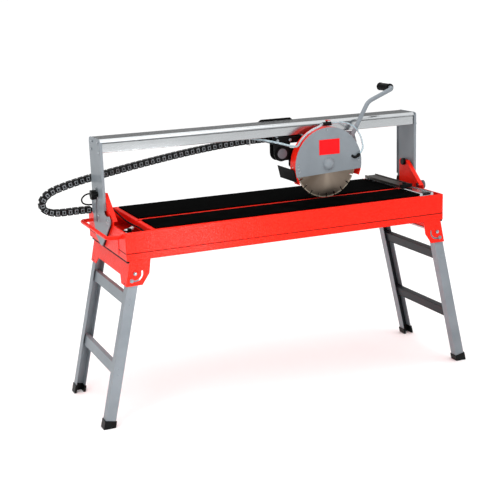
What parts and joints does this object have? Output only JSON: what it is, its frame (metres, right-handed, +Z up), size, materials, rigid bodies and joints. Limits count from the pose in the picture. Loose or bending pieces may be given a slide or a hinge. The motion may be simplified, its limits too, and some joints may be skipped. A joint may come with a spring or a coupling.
{
  "type": "wet tile saw",
  "caption": "Bridge tile saw: water tray on folding splayed legs, tilting bridge with an aluminium rail, rolling plunge head, guarded diamond blade, feed handle and drag chain.",
  "frame": {"origin": "on the floor under the middle of the whole outline", "axes": "+X along the rail to the motor's end, +Y from the operator's side to the back, +Z up"},
  "size_m": [1.8974, 0.5458, 1.3085],
  "materials": {
    "red_enamel": "gloss hammer-finish enamel",
    "grey_powder": "semi-gloss powder coat",
    "black_paint": "satin paint",
    "rail_aluminium": "anodised extrusion",
    "dark_aluminium": "anodised extrusion",
    "black_plastic": "moulded",
    "grey_cap": "moulded",
    "black_rubber": "matt",
    "zinc_steel": "zinc plated",
    "blade_steel": "ground",
    "clear_hose": "clear PVC"
  },
  "bodies": {
    "frame": {"water_tray": "red_enamel", "base_frame": "red_enamel", "table_panel": "red_enamel", "front_mat": "black_rubber", "rear_mat": "black_rubber", "bail_handle": "red_enamel", "water_pump": "black_plastic", "pump_lead": "black_rubber", "stop_rail": "rail_aluminium", "left_leg_bracket": "red_enamel", "right_leg_bracket": "red_enamel", "left_gusset": "red_enamel", "right_gusset": "red_enamel", "left_tilt_pin": "zinc_steel", "right_tilt_pin": "zinc_steel"},
    "fence": {"sliding_fence": "dark_aluminium"},
    "left_legs": {"left_front_leg": "grey_powder", "left_rear_leg": "grey_powder", "left_upper_rung": "grey_powder", "left_lower_rung": "grey_powder", "left_front_foot": "black_plastic", "left_rear_foot": "black_plastic", "left_leg_pivot_rod": "zinc_steel"},
    "right_legs": {"right_front_leg": "grey_powder", "right_rear_leg": "grey_powder", "right_upper_rung": "grey_powder", "right_lower_rung": "grey_powder", "right_front_foot": "black_plastic", "right_rear_foot": "black_plastic", "right_leg_pivot_rod": "zinc_steel"},
    "left_knob": {"left_lock_knob": "black_plastic"},
    "right_knob": {"right_lock_knob": "black_plastic"},
    "bridge": {"cross_rail": "rail_aluminium", "left_upright": "grey_powder", "right_upright": "grey_powder", "drag_chain": "black_plastic", "cable_loop": "black_rubber"},
    "carriage": {"carriage_frame": "black_paint", "plunge_pin": "grey_cap"},
    "left_lower_roller_body": {"left_lower_roller": "zinc_steel"},
    "right_lower_roller_body": {"right_lower_roller": "zinc_steel"},
    "left_upper_roller_body": {"left_upper_roller": "zinc_steel"},
    "right_upper_roller_body": {"right_upper_roller": "zinc_steel"},
    "head": {"motor_plate": "black_paint", "motor_housing": "black_paint", "motor_fan_cover": "black_plastic", "switch_box": "black_plastic", "guard_back": "red_enamel", "guard_cover": "grey_powder", "mud_flap": "black_rubber", "handle_tube": "grey_powder", "handle_grip": "black_rubber", "water_valve": "black_plastic", "water_hose": "clear_hose", "spray_hose": "clear_hose"},
    "spindle": {"arbor_shaft": "zinc_steel", "outer_flange": "zinc_steel", "blade": "blade_steel"},
    "rocker": {"switch_rocker": "grey_cap"},
    "water_lever": {"valve_lever": "red_enamel"}
  },
  "joints": [
    {"name": "fence_slide", "type": "slide", "parent": "frame", "child": "fence", "axis": [0, 1, 0], "range_m": [-0.15, 0.02]},
    {"name": "left_leg_fold", "type": "hinge", "parent": "frame", "child": "left_legs", "pos_m": [-0.67145, -0.0106, 0.648], "axis": [0, -1, 0], "range_deg": [0, 102]},
    {"name": "right_leg_fold", "type": "hinge", "parent": "frame", "child": "right_legs", "pos_m": [0.77655, -0.0106, 0.648], "axis": [0, 1, 0], "range_deg": [0, 102]},
    {"name": "left_knob_turn", "type": "hinge", "parent": "frame", "child": "left_knob", "pos_m": [-0.71545, 0.0579, 0.927], "axis": [1, 0, 0], "continuous": true},
    {"name": "right_knob_turn", "type": "hinge", "parent": "frame", "child": "right_knob", "pos_m": [0.82055, 0.0579, 0.927], "axis": [1, 0, 0], "continuous": true},
    {"name": "bridge_tilt", "type": "hinge", "parent": "frame", "child": "bridge", "pos_m": [0.05255, -0.0651, 0.83], "axis": [1, 0, 0], "range_deg": [0, 45]},
    {"name": "carriage_roll", "type": "slide", "parent": "bridge", "child": "carriage", "axis": [1, 0, 0], "range_m": [-0.67, 0.25]},
    {"name": "left_lower_roller_turn", "type": "hinge", "parent": "carriage", "child": "left_lower_roller_body", "pos_m": [0.09755, -0.0031, 1.0987], "axis": [0, 1, 0], "continuous": true},
    {"name": "left_upper_roller_turn", "type": "hinge", "parent": "carriage", "child": "left_upper_roller_body", "pos_m": [0.09755, 0.1149, 1.139], "axis": [0, 1, 0], "continuous": true},
    {"name": "right_lower_roller_turn", "type": "hinge", "parent": "carriage", "child": "right_lower_roller_body", "pos_m": [0.22555, -0.0031, 1.0987], "axis": [0, 1, 0], "continuous": true},
    {"name": "right_upper_roller_turn", "type": "hinge", "parent": "carriage", "child": "right_upper_roller_body", "pos_m": [0.22555, 0.1149, 1.139], "axis": [0, 1, 0], "continuous": true},
    {"name": "head_plunge", "type": "hinge", "parent": "carriage", "child": "head", "pos_m": [0.11255, -0.0051, 1.038], "axis": [0, -1, 0], "range_deg": [0, 12]},
    {"name": "blade_spin", "type": "hinge", "parent": "head", "child": "spindle", "pos_m": [0.31455, -0.0651, 0.976], "axis": [0, 1, 0], "continuous": true},
    {"name": "power_switch", "type": "hinge", "parent": "head", "child": "rocker", "pos_m": [0.44355, 0.0339, 0.971], "axis": [0, 1, 0], "range_deg": [0, 8]},
    {"name": "water_tap", "type": "hinge", "parent": "head", "child": "water_lever", "pos_m": [0.32055, -0.0671, 1.173], "axis": [0, 0, 1], "range_deg": [0, 90]}
  ],
  "couplings": [
    {"joint": "left_lower_roller_turn", "follows": "carriage_roll", "rad_per_m": -83.333},
    {"joint": "left_upper_roller_turn", "follows": "carriage_roll", "rad_per_m": 78.74},
    {"joint": "right_lower_roller_turn", "follows": "carriage_roll", "rad_per_m": -83.333},
    {"joint": "right_upper_roller_turn", "follows": "carriage_roll", "rad_per_m": 78.74}
  ]
}
